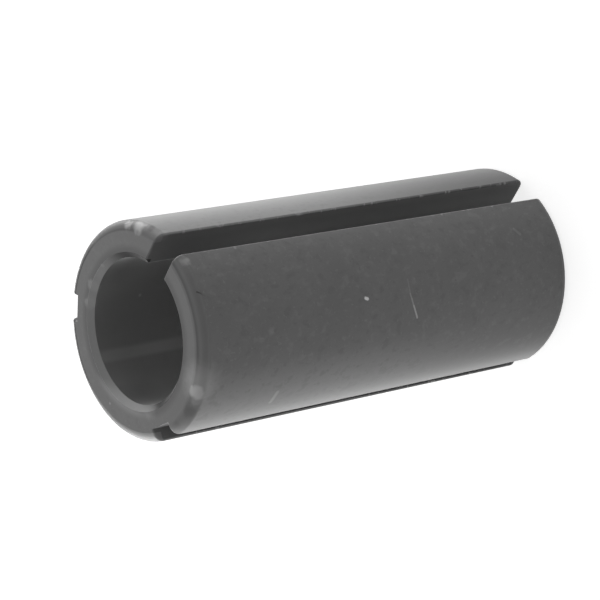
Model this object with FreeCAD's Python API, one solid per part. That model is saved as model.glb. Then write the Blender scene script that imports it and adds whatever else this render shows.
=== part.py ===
import FreeCAD, Part
import os

# Router collet reducer sleeve: a turned steel tube, split along one side by a slot and
# thinned by two lengthwise grooves, so that a collet can squeeze it onto a smaller shank.
# It stands on its foot at z = 0, with its axis on Z and the end that the shank enters up.
# The slot opens towards +X. Millimetres.

# Tube
OUTSIDE_DIAMETER = 12.0
BORE_DIAMETER = 8.0
LENGTH = 27.1

# Edges of the two ends
ENTRY_ROUNDING = 0.55
ENTRY_BORE_CHAMFER = 0.3
FOOT_ROUNDING = 0.5
FOOT_BORE_CHAMFER = 0.3

# Slot: parallel walls, and the cut stands to the +Y side of the axis
SLOT_WIDTH = 1.65
SLOT_OFFSET = 0.5

# Grooves: parallel walls and a flat floor, at equal thirds from the slot's direction
GROOVE_WIDTH = 1.45
GROOVE_DEPTH = 0.8
GROOVE_ANGLES = (120.0, 240.0)

# Rounding of the slot's and the grooves' edges on the outside, and of the slot's in the bore
LIP_ROUNDING = 0.1
INNER_LIP_ROUNDING = 0.2

# How far a cutter runs past the surface it cuts through
OVERRUN = 1.0

OUTER_RADIUS = OUTSIDE_DIAMETER / 2
BORE_RADIUS = BORE_DIAMETER / 2
AXIS_FOOT = FreeCAD.Vector(0, 0, 0)
AXIS = FreeCAD.Vector(0, 0, 1)


def at(radius, height):
    """A point of the half section that is revolved about the axis."""
    return FreeCAD.Vector(radius, 0, height)


def rounded_corner(rounding, end, outwards):
    """The quarter round between the outside and the end face at height end."""
    side = at(OUTER_RADIUS, end - outwards * rounding)
    face = at(OUTER_RADIUS - rounding, end)
    slant = rounding * 0.5 ** 0.5
    middle = at(face.x + slant, side.z + outwards * slant)
    return Part.Arc(side, middle, face).toShape()


def bar():
    """The turned blank, still solid, with both ends rounded."""
    foot_edge = at(OUTER_RADIUS - FOOT_ROUNDING, 0)
    entry_edge = at(OUTER_RADIUS - ENTRY_ROUNDING, LENGTH)
    wall = Part.makeLine(at(OUTER_RADIUS, FOOT_ROUNDING), at(OUTER_RADIUS, LENGTH - ENTRY_ROUNDING))
    ends = Part.makePolygon([entry_edge, at(0, LENGTH), at(0, 0), foot_edge])
    foot_corner = rounded_corner(FOOT_ROUNDING, 0.0, -1)
    entry_corner = rounded_corner(ENTRY_ROUNDING, LENGTH, 1)
    section = Part.Wire(ends.Edges + [foot_corner, wall, entry_corner])
    return Part.Face(section).revolve(AXIS_FOOT, AXIS, 360)


def drill():
    """The straight through hole, as a cutter."""
    foot = FreeCAD.Vector(0, 0, -OVERRUN)
    return Part.makeCylinder(BORE_RADIUS, LENGTH + 2 * OVERRUN, foot)


def countersink(chamfer, end, outwards):
    """The 45 degree chamfer of a bore mouth at height end, as a cutter."""
    inside = end - outwards * (BORE_RADIUS + chamfer)
    outside = end + outwards * OVERRUN
    corners = [
        at(0, inside),
        at(BORE_RADIUS + chamfer + OVERRUN, outside),
        at(0, outside),
        at(0, inside),
    ]
    return Part.Face(Part.makePolygon(corners)).revolve(AXIS_FOOT, AXIS, 360)


def saw(inner, width, offset, angle):
    """A straight cutter from the radius inner outwards, full length, turned to angle."""
    reach = OUTER_RADIUS + OVERRUN - inner
    corner = FreeCAD.Vector(inner, offset - width / 2, -OVERRUN)
    blade = Part.makeBox(reach, width, LENGTH + 2 * OVERRUN, corner)
    blade.rotate(AXIS_FOOT, AXIS, angle)
    return blade


def long_lips(body, radius):
    """The straight lengthwise edges that stand at radius from the axis."""
    lips = []
    for edge in body.Edges:
        start, end = edge.Vertexes[0].Point, edge.Vertexes[-1].Point
        upright = abs(end.z - start.z) > LENGTH / 2
        on_radius = abs((start.x ** 2 + start.y ** 2) ** 0.5 - radius) < 1e-4
        if upright and on_radius and edge.Curve.TypeId == "Part::GeomLine":
            lips.append(edge)
    return lips


# The bar is cut and bored straight through. The slot's lips in the bore are rounded first, and
# the outer lips after them, which carries their rounding over both ends. The mouths come last.
sleeve = bar()
sleeve = sleeve.cut(saw(0.0, SLOT_WIDTH, SLOT_OFFSET, 0.0))
for groove_angle in GROOVE_ANGLES:
    sleeve = sleeve.cut(saw(OUTER_RADIUS - GROOVE_DEPTH, GROOVE_WIDTH, 0.0, groove_angle))
sleeve = sleeve.cut(drill())
sleeve = sleeve.makeFillet(INNER_LIP_ROUNDING, long_lips(sleeve, BORE_RADIUS))
sleeve = sleeve.makeFillet(LIP_ROUNDING, long_lips(sleeve, OUTER_RADIUS))
sleeve = sleeve.cut(countersink(ENTRY_BORE_CHAMFER, LENGTH, 1))
sleeve = sleeve.cut(countersink(FOOT_BORE_CHAMFER, 0.0, -1)).Solids[0]

os.makedirs("parts", exist_ok=True)
sleeve.exportStep("parts/reducer_sleeve.step")
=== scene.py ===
import bpy
from math import radians
from mathutils import Matrix, Vector

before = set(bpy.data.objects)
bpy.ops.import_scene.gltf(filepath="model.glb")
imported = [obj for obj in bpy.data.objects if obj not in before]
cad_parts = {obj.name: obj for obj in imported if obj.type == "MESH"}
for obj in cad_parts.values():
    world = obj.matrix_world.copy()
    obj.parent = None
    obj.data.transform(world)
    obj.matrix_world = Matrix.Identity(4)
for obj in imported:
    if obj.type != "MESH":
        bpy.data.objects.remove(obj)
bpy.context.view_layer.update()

# The sleeve stands on its foot, and the picture shows it lying: so the camera is rolled.
# Metres, in the sleeve's own frame.
CAMERA_PLACE = Vector((0.0813452, -0.0671755, 0.1011409))
CAMERA_AIM = Vector((-0.000631, 0.000678, 0.014730))
CAMERA_ROLL = 100.205
CAMERA_LENS = 144.78
SENSOR_WIDTH = 36.0

# Lamps: name, place, width, height and power. Each is aimed at the middle of the sleeve.
# The last two stand lower than the upper end, so that they light the sides and not that end.
SLEEVE_MIDDLE = Vector((0.0, 0.0, 0.0135))
LAMPS = (
    ("lamp_far", (-0.54, 0.45, 0.57), 0.6, 0.6, 0.2),
    ("lamp_right", (0.02, 0.28, 0.0135), 0.2, 0.024, 0.6),
    ("lamp_left", (-0.28, 0.02, 0.0135), 0.2, 0.024, 0.6),
)

# Ground and room
WHITE = (1.0, 1.0, 1.0, 1.0)
FLOOR_SIZE = 3.0
FLOOR_PAINT = 0.55
FLOOR_GLOW = 0.78
ROOM_TO_CAMERA = (0.70, -0.58, 0.42)
ROOM_BRIGHT = 1.0
ROOM_DIM = 0.25

# Sizes of the sleeve that its finish follows, in metres
OUTER_RADIUS = 0.006
LENGTH = 0.0271
MM = 0.001

# Directions square to the axis, as the picture shows them. The last three point to the sides that get
# painted highlights.
UP_IN_PICTURE = (0.64, 0.77, 0.0)
TO_CAMERA = (0.77, -0.64, 0.0)
HIGHLIGHT_FACE_SIDE = (-0.94, -0.34, 0.0)
HIGHLIGHT_RIM_SIDE = (-0.87, -0.50, 0.0)
HIGHLIGHT_MOUTH_SIDE = (-0.883, -0.469, 0.0)

# Greys of marks in the finish and of painted highlights and glints, from 0 for black to 1 for white
BARE_STEEL_AND_HIGHLIGHT = 0.50
NICK_GLINT = 0.95
DARK_MARK = 0.008

# Mottle of the black: grain, where it starts and is full, how much it covers, and its grey
BLOTCHES = (
    ("patches", 0.52, 0.72, 0.8, 0.085),
    ("patches", 0.46, 0.30, 0.8, 0.012),
    ("flecks", 0.62, 0.74, 0.4, 0.13),
    ("flecks", 0.36, 0.27, 0.6, 0.010),
)

# Edges of the slot and of the two grooves on the outside, in degrees about the axis
LIP_ANGLES = (-3.1, 12.8, 113.1, 126.9, -126.9, -113.1)

# Lines on the outside and in the bore. Each runs from one point to another, in degrees about
# the axis and millimetres above the foot. Then comes its width in millimetres.
NICK = ((-43.6, 15.79), (-44.1, 15.66), 0.26)
DARK_SCRATCH = ((-25.3, 26.79), (-28.1, 26.41), 0.12)
# The bore's streak is painted light, not a mark.
BORE_LIGHT_STREAK = ((155.5, 26.50), (155.5, 20.60), 1.5)

# Bright scratches, as above, each with its strength
SCRATCHES = (
    (((-37.9, 12.56), (-45.4, 12.53), 0.16), 0.12),
    (((-45.4, 12.53), (-52.1, 12.33), 0.14), 0.38),
    (((-52.1, 12.33), (-59.0, 12.06), 0.16), 0.80),
    (((-88.6, 21.34), (-96.0, 21.44), 0.34), 0.38),
    (((-20.6, 3.52), (-24.0, 3.22), 0.26), 0.16),
)

# Bright places, most of them painted highlights on the rims and round the mouth: centre and radius in
# millimetres, the share of the radius that is full, and the strength. The ragged ones have an uneven
# edge.
RAGGED_BRIGHT = (
    # Near rim
    ((1.11, -5.64, 27.01), 0.68, 0.3, 0.85),
    ((0.60, -5.83, 26.92), 0.45, 0.3, 0.25),
    ((1.60, -5.54, 27.00), 1.60, 0.2, 0.34),
    # Rim on both sides of the slot
    ((5.93, -0.76, 26.72), 0.38, 0.3, 0.50),
    ((5.05, 2.88, 26.95), 0.55, 0.3, 0.75),
    ((4.45, 3.69, 27.00), 0.42, 0.3, 0.60),
    ((5.34, 2.80, 26.78), 0.35, 0.3, 0.40),
    ((5.78, 1.45, 26.70), 0.50, 0.3, 0.14),
    # Outside
    ((3.75, -4.68, 22.53), 0.30, 0.2, 0.12),
    # Edge of the bore's mouth
    ((-2.62, -3.35, 27.00), 0.70, 0.3, 0.14),
    ((-0.59, 4.21, 27.00), 0.50, 0.3, 0.22),
    ((-1.59, 3.94, 27.00), 0.50, 0.3, 0.22),
)
ROUND_BRIGHT = (
    # Bore, end face and mouth
    ((-1.44, 3.73, 23.80), 0.14, 0.3, 0.60),
    ((-4.91, -0.59, 27.10), 0.11, 0.3, 0.30),
    ((1.03, 4.12, 27.05), 0.16, 0.3, 0.30),
    # Slot's near lip
    ((5.98, -0.43, 8.16), 0.12, 0.3, 0.50),
    ((5.99, -0.37, 6.06), 0.12, 0.3, 0.50),
    ((5.98, -0.42, 4.17), 0.12, 0.3, 0.50),
    ((5.98, -0.48, 23.18), 0.12, 0.3, 0.40),
)
RAGGED_DARK = (
    ((-0.26, -5.79, 26.98), 0.60, 0.3, 0.30),
    ((-1.65, -5.56, 26.97), 0.50, 0.3, 0.20),
    ((5.58, 2.20, 26.80), 0.38, 0.3, 0.50),
)

# Sockets of the colour mix node, which has several of the same name
MIX_AMOUNT = 0
MIX_BELOW = 6
MIX_ABOVE = 7
MIX_RESULT = 2


def level_frame(towards):
    """Rotation of something that looks along towards with its top as upright as can be."""
    return towards.to_track_quat("-Z", "Y").to_matrix()


def add_camera():
    data = bpy.data.cameras.new("camera")
    data.lens = CAMERA_LENS
    data.sensor_width = SENSOR_WIDTH
    data.clip_start = 0.001
    data.clip_end = 20.0
    camera = bpy.data.objects.new("camera", data)
    bpy.context.scene.collection.objects.link(camera)
    turn = level_frame(CAMERA_AIM - CAMERA_PLACE)
    roll = Matrix.Rotation(-radians(CAMERA_ROLL), 3, "Z")
    camera.matrix_world = Matrix.Translation(CAMERA_PLACE) @ (turn @ roll).to_4x4()
    bpy.context.scene.camera = camera


def add_soft_light(name, place, width, height, power):
    data = bpy.data.lights.new(name, "AREA")
    data.shape = "ELLIPSE"
    data.size = width
    data.size_y = height
    data.energy = power
    lamp = bpy.data.objects.new(name, data)
    bpy.context.scene.collection.objects.link(lamp)
    turn = level_frame(SLEEVE_MIDDLE - Vector(place))
    lamp.matrix_world = Matrix.Translation(Vector(place)) @ turn.to_4x4()


def feed(tree, socket, value):
    """Links the socket to value where that is a socket, and sets it where it is a number."""
    if isinstance(value, bpy.types.NodeSocket):
        tree.links.new(value, socket)
    else:
        socket.default_value = value


def sum_of(tree, operation, first, second=0.0, clamp=False):
    step = tree.nodes.new("ShaderNodeMath")
    step.operation = operation
    step.use_clamp = clamp
    feed(tree, step.inputs[0], first)
    feed(tree, step.inputs[1], second)
    return step.outputs[0]


def added(tree, first, second, clamp=False):
    return sum_of(tree, "ADD", first, second, clamp)


def both(tree, first, second):
    return sum_of(tree, "MULTIPLY", first, second)


def strongest(tree, masks):
    found = masks[0]
    for mask in masks[1:]:
        found = sum_of(tree, "MAXIMUM", found, mask)
    return found


def vector_step(tree, operation, first, second, result="Vector"):
    step = tree.nodes.new("ShaderNodeVectorMath")
    step.operation = operation
    feed(tree, step.inputs[0], first)
    feed(tree, step.inputs[1], second)
    return step.outputs[result]


def fade(tree, value, start, end):
    """Rises smoothly from 0 to 1 as value goes from start to end."""
    step = tree.nodes.new("ShaderNodeMapRange")
    step.interpolation_type = "SMOOTHSTEP"
    feed(tree, step.inputs["Value"], value)
    step.inputs["From Min"].default_value = start
    step.inputs["From Max"].default_value = end
    return step.outputs["Result"]


def fade_mm(tree, value, start, end):
    """The same for a length, with start and end in millimetres."""
    return fade(tree, value, start * MM, end * MM)


def fade_below_entry(tree, height, start, end):
    """The same for the height, with start and end in millimetres below the upper end."""
    return fade(tree, height, LENGTH - start * MM, LENGTH - end * MM)


def spread(tree, value, low, high):
    """A 0 to 1 value laid out from low to high."""
    step = tree.nodes.new("ShaderNodeMapRange")
    feed(tree, step.inputs["Value"], value)
    step.inputs["To Min"].default_value = low
    step.inputs["To Max"].default_value = high
    return step.outputs["Result"]


def mottle(tree, place, scale, detail=3.0, stretch=(1.0, 1.0, 1.0)):
    lay = tree.nodes.new("ShaderNodeMapping")
    lay.inputs["Scale"].default_value = stretch
    feed(tree, lay.inputs["Vector"], place)
    noise = tree.nodes.new("ShaderNodeTexNoise")
    noise.inputs["Scale"].default_value = scale
    noise.inputs["Detail"].default_value = detail
    tree.links.new(lay.outputs["Vector"], noise.inputs["Vector"])
    return noise.outputs["Fac"]


def roughened(tree, place, scale, reach):
    """place, pushed about by up to half of reach, so that a round mark gets a ragged edge."""
    noise = tree.nodes.new("ShaderNodeTexNoise")
    noise.inputs["Scale"].default_value = scale
    tree.links.new(place, noise.inputs["Vector"])
    push = vector_step(tree, "SUBTRACT", noise.outputs["Color"], (0.5, 0.5, 0.5))
    push = vector_step(tree, "MULTIPLY", push, (reach, reach, reach))
    return vector_step(tree, "ADD", place, push)


def grey(value):
    return (value, value, value, 1.0)


def coloured(tree, amount, below, above):
    """The colour below, covered by the colour above where amount is 1."""
    mix = tree.nodes.new("ShaderNodeMix")
    mix.data_type = "RGBA"
    feed(tree, mix.inputs[MIX_AMOUNT], amount)
    feed(tree, mix.inputs[MIX_BELOW], below)
    feed(tree, mix.inputs[MIX_ABOVE], above)
    return mix.outputs[MIX_RESULT]


def graded(tree, value, start, end, first_grey, last_grey):
    """A grey that goes from the first to the last as value goes from start to end, in mm."""
    return coloured(tree, fade_mm(tree, value, start, end), grey(first_grey), grey(last_grey))


def unrolled(tree, xyz):
    """The outside laid flat: x is the way round it and y the height."""
    angle = sum_of(tree, "ARCTAN2", xyz.outputs["Y"], xyz.outputs["X"])
    flat = tree.nodes.new("ShaderNodeCombineXYZ")
    feed(tree, flat.inputs["X"], sum_of(tree, "MULTIPLY", angle, OUTER_RADIUS))
    feed(tree, flat.inputs["Y"], xyz.outputs["Z"])
    return flat.outputs["Vector"]


def laid_flat(point):
    degrees, height = point
    return Vector((radians(degrees) * OUTER_RADIUS, height * MM, 0.0))


def scratch(tree, flat, line):
    """1 on the line, and 0 from half its width away."""
    start, end, width = laid_flat(line[0]), laid_flat(line[1]), line[2] * MM
    run = end - start
    reach = vector_step(tree, "SUBTRACT", flat, start)
    along = vector_step(tree, "DOT_PRODUCT", reach, run / run.length_squared, "Value")
    along = added(tree, along, 0.0, clamp=True)
    nearest = vector_step(tree, "SCALE", run, (0.0, 0.0, 0.0))
    tree.links.new(along, nearest.node.inputs["Scale"])
    gap = vector_step(tree, "DISTANCE", reach, nearest, "Value")
    return fade(tree, gap, width / 2, width / 6)


def spots(tree, place, marks):
    """Round marks, each 1 within its core and 0 from its radius on, times its strength."""
    found = []
    for centre, radius, core, strength in marks:
        gap = vector_step(tree, "DISTANCE", place, Vector(centre) * MM, "Value")
        round_mark = fade(tree, gap, radius * MM, radius * MM * core)
        found.append(both(tree, round_mark, strength))
    return strongest(tree, found)


class Where:
    """Sockets that tell where on the sleeve a point lies."""

    def __init__(self, tree):
        self.tree = tree
        self.place = tree.nodes.new("ShaderNodeTexCoord").outputs["Object"]
        self.xyz = tree.nodes.new("ShaderNodeSeparateXYZ")
        feed(tree, self.xyz.inputs["Vector"], self.place)
        self.height = self.xyz.outputs["Z"]
        self.across = vector_step(tree, "MULTIPLY", self.place, (1.0, 1.0, 0.0))
        self.radius = vector_step(tree, "LENGTH", self.across, (0.0, 0.0, 0.0), "Value")
        self.flat = unrolled(tree, self.xyz)
        self.upward = self.out_towards(UP_IN_PICTURE)
        self.front = self.out_towards(TO_CAMERA)
        self.back = sum_of(tree, "MULTIPLY", self.front, -1.0)

    def out_towards(self, direction):
        """How far out a point lies in that direction."""
        return vector_step(self.tree, "DOT_PRODUCT", self.across, direction, "Value")


class Zones:
    """Masks of the sleeve's surfaces, 1 on each and 0 off it."""

    def __init__(self, where):
        tree, height, radius = where.tree, where.height, where.radius
        self.outside = fade_mm(tree, radius, 5.80, 5.92)
        self.end_face = fade_below_entry(tree, height, 0.03, 0.005)
        near_entry = fade_below_entry(tree, height, 0.55, 0.40)
        near_foot = fade_mm(tree, height, 0.50, 0.35)
        near_ends = strongest(tree, [near_entry, near_foot])
        self.rounding = both(tree, near_ends, fade_mm(tree, radius, 5.42, 5.50))
        in_chamfer = fade_below_entry(tree, height, 0.33, 0.29)
        self.mouth = both(tree, in_chamfer, fade_mm(tree, radius, 4.33, 4.29))
        foot = fade_mm(tree, height, 0.03, 0.005)
        shown = strongest(tree, [self.outside, self.end_face, foot, self.rounding, self.mouth])
        self.inside = sum_of(tree, "SUBTRACT", 1.0, shown)
        # Sides and back of the outside, which its colour paints with light and shade
        self.top_side = both(tree, self.outside, fade_mm(tree, where.upward, 3.0, 5.2))
        low_side = both(tree, self.outside, fade_mm(tree, where.upward, -2.5, -5.2))
        self.sides = strongest(tree, [self.top_side, low_side])
        self.rear = both(tree, self.outside, fade_mm(tree, where.back, 0.2, 2.0))


class Grain:
    """Noise of several sizes, for the mottle of the black and the marks of the tools."""

    def __init__(self, where):
        tree, place = where.tree, where.place
        self.clouds = mottle(tree, place, 420.0, 4.0)
        self.patches = mottle(tree, place, 1900.0, 3.0, (1.0, 1.0, 0.8))
        self.flecks = mottle(tree, place, 4600.0, 2.0)
        self.grinding = mottle(tree, place, 1.0, 3.0, (500.0, 500.0, 9000.0))
        self.turning = turning_rings(where)
        self.ragged = roughened(tree, place, 2200.0, 0.5 * MM)


def turning_rings(where):
    """Fine rings about the axis, as a lathe leaves them on an end face."""
    tree = where.tree
    noise = tree.nodes.new("ShaderNodeTexNoise")
    noise.inputs["Scale"].default_value = 1.0
    ring = tree.nodes.new("ShaderNodeCombineXYZ")
    feed(tree, ring.inputs["X"], sum_of(tree, "MULTIPLY", where.radius, 16000.0))
    feed(tree, ring.inputs["Y"], sum_of(tree, "MULTIPLY", where.xyz.outputs["X"], 200.0))
    tree.links.new(ring.outputs["Vector"], noise.inputs["Vector"])
    return noise.outputs["Fac"]


def outside_skin(where, zones, grain):
    """The mottled black, with painted light on the two lit sides, paler toward the entry, and painted
    shade behind.
    """
    tree = where.tree
    skin = coloured(tree, fade(tree, grain.clouds, 0.35, 0.65), grey(0.036), grey(0.048))
    # Painted light on the two lit sides, paler toward the entry
    painted_side_light = graded(tree, where.height, 2.0, 18.0, 0.006, 0.14)
    skin = coloured(tree, zones.sides, skin, painted_side_light)
    noises = {"patches": grain.patches, "flecks": grain.flecks}
    for noise, start, end, cover, value in BLOTCHES:
        blotches = both(tree, fade(tree, noises[noise], start, end), cover)
        skin = coloured(tree, blotches, skin, grey(value))
    # The painted side light again, over the blotches
    skin = coloured(tree, both(tree, zones.sides, 0.6), skin, painted_side_light)
    # Painted shade round the back
    return coloured(tree, both(tree, zones.rear, 0.6), skin, grey(0.014))


def with_end_face(skin, where, zones):
    """The upper end, darker round the bore and on the side toward the camera, with a painted
    highlight on one side of the ring round the bore.
    """
    tree = where.tree
    skin = coloured(tree, both(tree, zones.end_face, 0.45), skin, grey(0.095))
    near_side = both(tree, zones.end_face, fade_mm(tree, where.front, 0.0, 3.0))
    skin = coloured(tree, near_side, skin, grey(0.060))
    inner_ring = both(tree, zones.end_face, fade_mm(tree, where.radius, 4.85, 4.40))
    skin = coloured(tree, both(tree, inner_ring, 0.9), skin, grey(0.004))
    # Painted highlight on one side of the ring round the bore
    painted_highlight_side = fade_mm(tree, where.out_towards(HIGHLIGHT_FACE_SIDE), 3.5, 4.3)
    return coloured(tree, both(tree, inner_ring, painted_highlight_side), skin, grey(0.14))


def with_rounded_ends(skin, where, zones):
    """The roundings of both ends, with painted light and shade: paler toward the camera, darker
    behind, a painted highlight on one side, and a painted dark line of shade where the entry's
    rounding meets the end face.
    """
    tree = where.tree
    # Painted light and shade on the roundings, set by side
    rounding_light_and_shade = graded(tree, where.front, 1.0, 4.5, 0.07, 0.17)
    rounding_light_and_shade = coloured(tree, fade_mm(tree, where.back, 2.0, 3.4), rounding_light_and_shade, grey(0.05))
    painted_highlight_side = fade_mm(tree, where.out_towards(HIGHLIGHT_RIM_SIDE), 3.5, 5.2)
    rounding_light_and_shade = coloured(tree, painted_highlight_side, rounding_light_and_shade, grey(0.28))
    skin = coloured(tree, zones.rounding, skin, rounding_light_and_shade)
    # Painted dark line of shade, on the camera's side, where the entry's rounding meets the end face
    outwards = fade_mm(tree, where.radius, 5.24, 5.36)
    inwards = fade_mm(tree, where.radius, 5.76, 5.50)
    painted_shade_line = both(tree, both(tree, outwards, inwards), fade_below_entry(tree, where.height, 0.2, 0.1))
    painted_shade_line = both(tree, painted_shade_line, fade_mm(tree, where.front, 3.0, 4.5))
    return coloured(tree, both(tree, painted_shade_line, 0.7), skin, grey(0.006))


def cut_walls(where):
    """The walls of the slot and of the grooves. The slot's wall has painted light and shade that even
    out its shading: paler deeper down and toward the bore, darker near the entry. The grooves' walls
    are paler near the entry.
    """
    tree, height = where.tree, where.height
    # Painted shade near the entry, and painted light deeper down and toward the bore, on the slot's
    # wall
    slot_wall = graded(tree, height, 20.0, 27.0, 0.17, 0.10)
    inner_wall = graded(tree, height, 18.0, 26.0, 0.34, 0.12)
    slot_wall = coloured(tree, fade_mm(tree, where.radius, 5.6, 4.5), slot_wall, inner_wall)
    groove_wall = graded(tree, height, 24.0, 27.0, 0.03, 0.17)
    on_slot_side = fade_mm(tree, where.xyz.outputs["X"], -0.5, 0.5)
    return coloured(tree, on_slot_side, groove_wall, slot_wall)


def bore_wall(where):
    """The bore, with painted light deeper in that evens out its shading, painted shade in two places
    at its mouth, and one painted streak of light along it.
    """
    tree, height = where.tree, where.height
    # Painted light, paler deeper in, that evens out the bore's shading
    bore = graded(tree, height, 20.0, 26.5, 0.34, 0.23)
    from_middle = sum_of(tree, "ABSOLUTE", where.upward)
    at_mouth = fade_mm(tree, height, 24.0, 26.0)
    near_mouth = both(tree, fade_mm(tree, from_middle, 2.4, 3.6), at_mouth)
    # Painted shade in two places at the mouth
    bore = coloured(tree, near_mouth, bore, grey(0.16))
    # A painted streak of light along the bore
    strength = spread(tree, fade_mm(tree, height, 25.5, 22.5), 0.28, 0.65)
    streak = both(tree, scratch(tree, where.flat, BORE_LIGHT_STREAK), strength)
    return coloured(tree, streak, bore, grey(0.50))


def mouth_chamfer(where):
    """The chamfer of the bore's mouth, with painted shade on the side toward the camera, paler
    behind, and a painted highlight on one side.
    """
    tree = where.tree
    # Painted shade on the side toward the camera, paler behind
    chamfer = graded(tree, where.back, -0.6, 2.4, 0.01, 0.32)
    # Painted highlight on one side
    painted_highlight_side = fade_mm(tree, where.out_towards(HIGHLIGHT_MOUTH_SIDE), 3.3, 4.15)
    return coloured(tree, painted_highlight_side, chamfer, grey(0.46))


def rubbed_lips(tree, flat):
    """Small bright specks where the black is rubbed off the edges of slot and grooves."""
    way_round = vector_step(tree, "DOT_PRODUCT", flat, (1.0, 0.0, 0.0), "Value")
    edges = []
    for degrees in LIP_ANGLES:
        gap = sum_of(tree, "SUBTRACT", way_round, radians(degrees) * OUTER_RADIUS)
        edges.append(fade_mm(tree, sum_of(tree, "ABSOLUTE", gap), 0.16, 0.04))
    chips = mottle(tree, flat, 2600.0, 2.0, (1.0, 0.8, 1.0))
    return both(tree, strongest(tree, edges), fade(tree, chips, 0.57, 0.68))


def bright_scratches(where):
    tree = where.tree
    lines = []
    for line, strength in SCRATCHES:
        lines.append(both(tree, scratch(tree, where.flat, line), strength))
    return strongest(tree, lines)


def bare_steel_and_highlights(where, zones, grain, scratches):
    """Where the black is rubbed or scratched off, and the bright places, most of them painted
    highlights.
    """
    tree = where.tree
    lips = both(tree, rubbed_lips(tree, where.flat), zones.outside)
    return strongest(tree, [
        spots(tree, grain.ragged, RAGGED_BRIGHT),
        spots(tree, where.place, ROUND_BRIGHT),
        both(tree, scratches, zones.outside),
        both(tree, lips, 0.5),
    ])


def dark_marks(where, grain):
    tree = where.tree
    line = both(tree, scratch(tree, where.flat, DARK_SCRATCH), 0.7)
    return strongest(tree, [spots(tree, grain.ragged, RAGGED_DARK), line])


def roughness(where, zones, grain, dark):
    """Duller on the top side near the foot, on the roundings, in the mouth and inside."""
    tree = where.tree
    dull = spread(tree, grain.patches, 0.31, 0.41)
    up_to_entry = fade_mm(tree, where.height, 2.0, 20.0)
    dull = added(tree, dull, both(tree, zones.top_side, spread(tree, up_to_entry, 0.16, 0.0)))
    dull = added(tree, dull, both(tree, zones.mouth, 0.55))
    to_rear = fade_mm(tree, where.back, 2.0, 3.4)
    dull = added(tree, dull, both(tree, zones.rounding, spread(tree, to_rear, 0.30, 0.60)))
    dull = added(tree, dull, both(tree, zones.inside, 0.40))
    return added(tree, dull, both(tree, dark, 0.15), clamp=True)


def relief(tree, zones, grain, scratches):
    """Grinding marks on the outside, turning rings on the end face, and sunk scratches."""
    ground = both(tree, grain.grinding, zones.outside)
    turned = both(tree, grain.turning, zones.end_face)
    cut = both(tree, added(tree, ground, turned), 0.5)
    raised = added(tree, cut, both(tree, grain.flecks, 0.5))
    raised = sum_of(tree, "SUBTRACT", raised, both(tree, scratches, 0.6))
    bump = tree.nodes.new("ShaderNodeBump")
    bump.inputs["Strength"].default_value = 0.25
    bump.inputs["Distance"].default_value = 0.004 * MM
    tree.links.new(raised, bump.inputs["Height"])
    return bump.outputs["Normal"]


def black_oxide():
    """Turned steel, blackened: one finish, with each surface's own cut and marks, and painted light
    and shade.
    """
    material = bpy.data.materials.new("black_oxide_steel")
    material.use_nodes = True
    tree = material.node_tree
    shader = tree.nodes["Principled BSDF"]
    where = Where(tree)
    zones = Zones(where)
    grain = Grain(where)
    scratches = bright_scratches(where)
    dark = dark_marks(where, grain)

    skin = outside_skin(where, zones, grain)
    skin = with_end_face(skin, where, zones)
    skin = with_rounded_ends(skin, where, zones)
    in_bore = fade_mm(tree, where.radius, 4.02, 4.06)
    inner = coloured(tree, in_bore, bore_wall(where), cut_walls(where))
    skin = coloured(tree, zones.inside, skin, inner)
    skin = coloured(tree, zones.mouth, skin, mouth_chamfer(where))
    # Bare steel where rubbed and scratched, and painted highlights on the rims and round the mouth
    skin = coloured(tree, bare_steel_and_highlights(where, zones, grain, scratches), skin, grey(BARE_STEEL_AND_HIGHLIGHT))
    nick = both(tree, scratch(tree, where.flat, NICK), zones.outside)
    # The nick, with its glint painted in near white
    skin = coloured(tree, nick, skin, grey(NICK_GLINT))
    skin = coloured(tree, dark, skin, grey(DARK_MARK))

    tree.links.new(skin, shader.inputs["Base Color"])
    tree.links.new(roughness(where, zones, grain, dark), shader.inputs["Roughness"])
    tree.links.new(relief(tree, zones, grain, scratches), shader.inputs["Normal"])
    shader.inputs["IOR"].default_value = 1.7
    shader.inputs["Sheen Weight"].default_value = 0.8
    shader.inputs["Sheen Roughness"].default_value = 0.3
    return material


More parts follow.
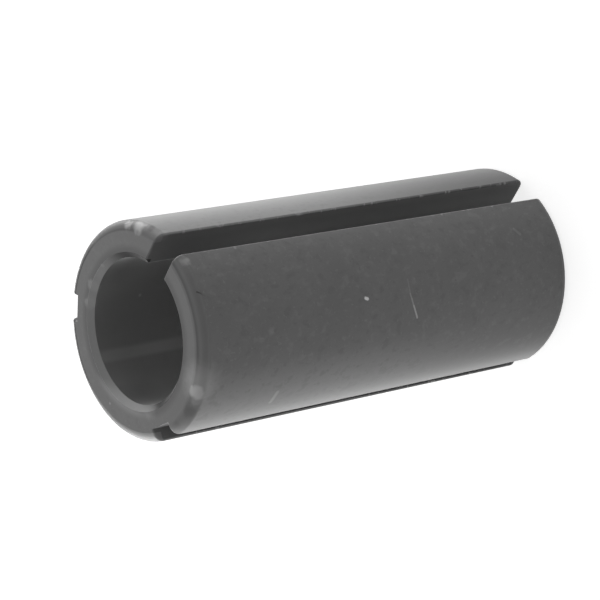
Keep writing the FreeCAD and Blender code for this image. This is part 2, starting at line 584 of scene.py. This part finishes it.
def floor_paint():
    """Matt paint that also glows, to the eye and in reflections, so that it looks white."""
    paint = bpy.data.materials.new("floor_paint")
    paint.use_nodes = True
    tree = paint.node_tree
    tree.nodes.clear()
    out = tree.nodes.new("ShaderNodeOutputMaterial")
    matt = tree.nodes.new("ShaderNodeBsdfDiffuse")
    matt.inputs["Color"].default_value = grey(FLOOR_PAINT)
    glow = tree.nodes.new("ShaderNodeEmission")
    glow.inputs["Color"].default_value = WHITE
    light_path = tree.nodes.new("ShaderNodeLightPath").outputs
    seen = added(tree, light_path["Is Camera Ray"], light_path["Is Glossy Ray"])
    tree.links.new(both(tree, seen, FLOOR_GLOW), glow.inputs["Strength"])
    lit = tree.nodes.new("ShaderNodeAddShader")
    tree.links.new(matt.outputs[0], lit.inputs[0])
    tree.links.new(glow.outputs[0], lit.inputs[1])
    tree.links.new(lit.outputs[0], out.inputs["Surface"])
    return paint


def add_floor():
    bpy.ops.object.select_all(action="DESELECT")
    bpy.ops.mesh.primitive_plane_add(size=FLOOR_SIZE, location=(0, 0, 0))
    floor = bpy.context.object
    floor.name = "floor"
    floor.data.materials.append(floor_paint())


def add_world():
    """White to the eye. As light it is dimmer on the side that the camera stands on."""
    world = bpy.data.worlds.new("studio")
    world.use_nodes = True
    tree = world.node_tree
    tree.nodes.clear()
    out = tree.nodes.new("ShaderNodeOutputWorld")
    place = tree.nodes.new("ShaderNodeTexCoord").outputs["Generated"]
    towards = vector_step(tree, "DOT_PRODUCT", place, ROOM_TO_CAMERA, "Value")
    room = tree.nodes.new("ShaderNodeMapRange")
    tree.links.new(towards, room.inputs["Value"])
    room.inputs["From Min"].default_value = -0.3
    room.inputs["From Max"].default_value = 0.8
    room.inputs["To Min"].default_value = ROOM_BRIGHT
    room.inputs["To Max"].default_value = ROOM_DIM
    light = tree.nodes.new("ShaderNodeBackground")
    light.inputs["Color"].default_value = WHITE
    tree.links.new(room.outputs["Result"], light.inputs["Strength"])
    backdrop = tree.nodes.new("ShaderNodeBackground")
    backdrop.inputs["Color"].default_value = WHITE
    backdrop.inputs["Strength"].default_value = 1.0
    light_path = tree.nodes.new("ShaderNodeLightPath").outputs
    pick = tree.nodes.new("ShaderNodeMixShader")
    tree.links.new(light_path["Is Camera Ray"], pick.inputs["Fac"])
    tree.links.new(light.outputs[0], pick.inputs[1])
    tree.links.new(backdrop.outputs[0], pick.inputs[2])
    tree.links.new(pick.outputs[0], out.inputs["Surface"])
    bpy.context.scene.world = world


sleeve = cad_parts["reducer_sleeve"]
steel = black_oxide()
for material_slot in sleeve.material_slots:
    material_slot.material = steel

add_floor()
add_world()
add_camera()
for lamp_name, lamp_place, lamp_width, lamp_height, lamp_power in LAMPS:
    add_soft_light(lamp_name, lamp_place, lamp_width, lamp_height, lamp_power)

bpy.context.scene.view_settings.view_transform = "Standard"
